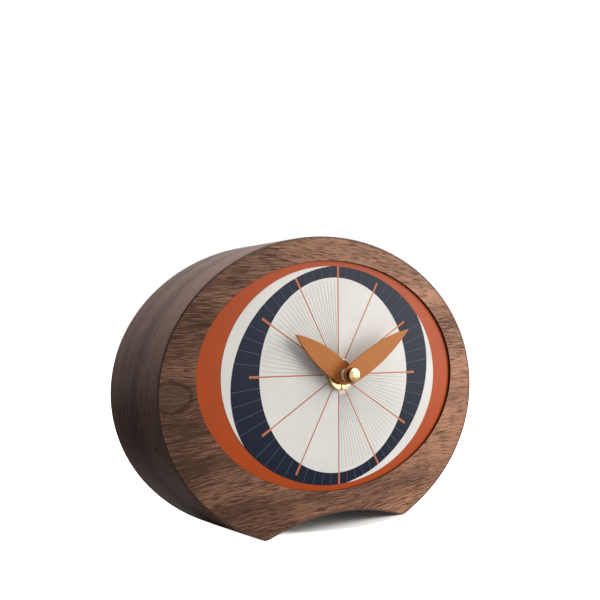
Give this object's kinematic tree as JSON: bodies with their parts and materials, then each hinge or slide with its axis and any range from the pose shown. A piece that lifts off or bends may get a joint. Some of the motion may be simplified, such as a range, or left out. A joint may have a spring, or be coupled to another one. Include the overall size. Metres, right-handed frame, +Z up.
{
  "type": "desk clock",
  "caption": "Oval wooden desk clock with an arched foot, a recessed oval dial with radial hour lines, leaf shaped hands and a geared quartz movement behind it.",
  "frame": {"origin": "on the surface the clock stands on, midway across the case, midway between the tip of the cap nut and the back of the case", "axes": "+X to the viewer's right when facing the dial, -Y out of the dial towards the viewer, +Z up"},
  "size_m": [0.17, 0.0478, 0.1213],
  "materials": {
    "walnut": "satin, straight horizontal grain with dark pores",
    "dark_side_veneer": "satin, grey brown stain",
    "core_board": "raw",
    "orange_plate": "satin lacquer",
    "white_print": "matte print",
    "navy_print": "matte print",
    "orange_print": "matte print",
    "pale_print": "matte print",
    "grey_print": "matte print",
    "hand_paint": "satin",
    "brass": "turned, satin",
    "steel": "bright",
    "soft_iron": "stamped, dull",
    "magnet": "sintered, dark",
    "black_plastic": "fine moulded grain",
    "white_plastic": "moulded",
    "black_rubber": "matte",
    "copper_wire": "enamelled copper wire",
    "green_board": "solder mask",
    "black_resin": "gloss",
    "crystal_can": "bright",
    "contact_spring": "nickel plated",
    "cell_steel": "nickel plated",
    "cell_sleeve": "gloss foil without print"
  },
  "bodies": {
    "case": {"core_front_ring": "core_board", "core_middle_ring": "core_board", "core_back_ring": "core_board", "face_veneer": "walnut", "back_veneer": "walnut", "side_veneer": "dark_side_veneer", "arch_veneer": "dark_side_veneer", "dial_plate": "orange_plate", "dial_white_crescents": "white_print", "dial_navy_ring": "navy_print", "dial_centre_disc": "white_print", "hour_lines": "orange_print", "minute_ticks": "pale_print", "sunburst_lines": "grey_print", "fixing_nut": "brass", "gasket": "black_rubber", "front_housing": "black_plastic", "back_housing": "black_plastic", "centre_bush": "brass", "middle_plate": "white_plastic", "stator": "soft_iron", "coil_core": "soft_iron", "coil_bobbin": "white_plastic", "coil_winding": "copper_wire", "circuit_board": "green_board", "timing_chip": "black_resin", "quartz_crystal": "crystal_can", "contact_positive": "contact_spring", "contact_negative": "contact_spring", "battery_can": "cell_steel", "battery_cap": "cell_steel", "battery_sleeve": "cell_sleeve"},
    "minute": {"centre_arbor": "steel", "minute_hand": "hand_paint", "cap_nut": "brass"},
    "hour": {"hour_wheel": "steel", "hour_hand": "hand_paint"},
    "motion": {"motion_wheel": "white_plastic"},
    "setting": {"setting_arbor": "white_plastic", "setting_knob": "black_plastic"},
    "centre": {"centre_wheel": "brass"},
    "third": {"third_wheel": "white_plastic"},
    "seconds": {"seconds_wheel": "white_plastic"},
    "fifth": {"fifth_wheel": "white_plastic"},
    "rotor": {"rotor_pinion": "white_plastic", "rotor_magnet": "magnet"}
  },
  "joints": [
    {"name": "minute_turn", "type": "hinge", "parent": "case", "child": "minute", "pos_m": [0.001, 0, 0.0632], "axis": [0, 1, 0], "continuous": true},
    {"name": "hour_turn", "type": "hinge", "parent": "case", "child": "hour", "pos_m": [0.001, 0, 0.0632], "axis": [0, 1, 0], "continuous": true},
    {"name": "motion_turn", "type": "hinge", "parent": "case", "child": "motion", "pos_m": [0.001, 0, 0.0712], "axis": [0, 1, 0], "continuous": true},
    {"name": "setting_turn", "type": "hinge", "parent": "case", "child": "setting", "pos_m": [0.001, 0, 0.0792], "axis": [0, 1, 0], "continuous": true},
    {"name": "seconds_turn", "type": "hinge", "parent": "case", "child": "seconds", "pos_m": [0.001, 0, 0.0632], "axis": [0, 1, 0], "continuous": true},
    {"name": "centre_turn", "type": "hinge", "parent": "case", "child": "centre", "pos_m": [0.001, 0, 0.0632], "axis": [0, 1, 0], "continuous": true},
    {"name": "third_turn", "type": "hinge", "parent": "case", "child": "third", "pos_m": [-0.00908, 0, 0.0632], "axis": [0, 1, 0], "continuous": true},
    {"name": "fifth_turn", "type": "hinge", "parent": "case", "child": "fifth", "pos_m": [0.01108, 0, 0.0632], "axis": [0, 1, 0], "continuous": true},
    {"name": "rotor_turn", "type": "hinge", "parent": "case", "child": "rotor", "pos_m": [0.01724, 0, 0.0632], "axis": [0, 1, 0], "continuous": true}
  ],
  "couplings": [
    {"joint": "hour_turn", "follows": "minute_turn", "ratio": 0.083333},
    {"joint": "motion_turn", "follows": "minute_turn", "ratio": -0.33333},
    {"joint": "setting_turn", "follows": "minute_turn", "ratio": 1},
    {"joint": "third_turn", "follows": "seconds_turn", "ratio": -0.13333},
    {"joint": "centre_turn", "follows": "seconds_turn", "ratio": 0.016667},
    {"joint": "fifth_turn", "follows": "seconds_turn", "ratio": -5},
    {"joint": "rotor_turn", "follows": "seconds_turn", "ratio": 30}
  ]
}
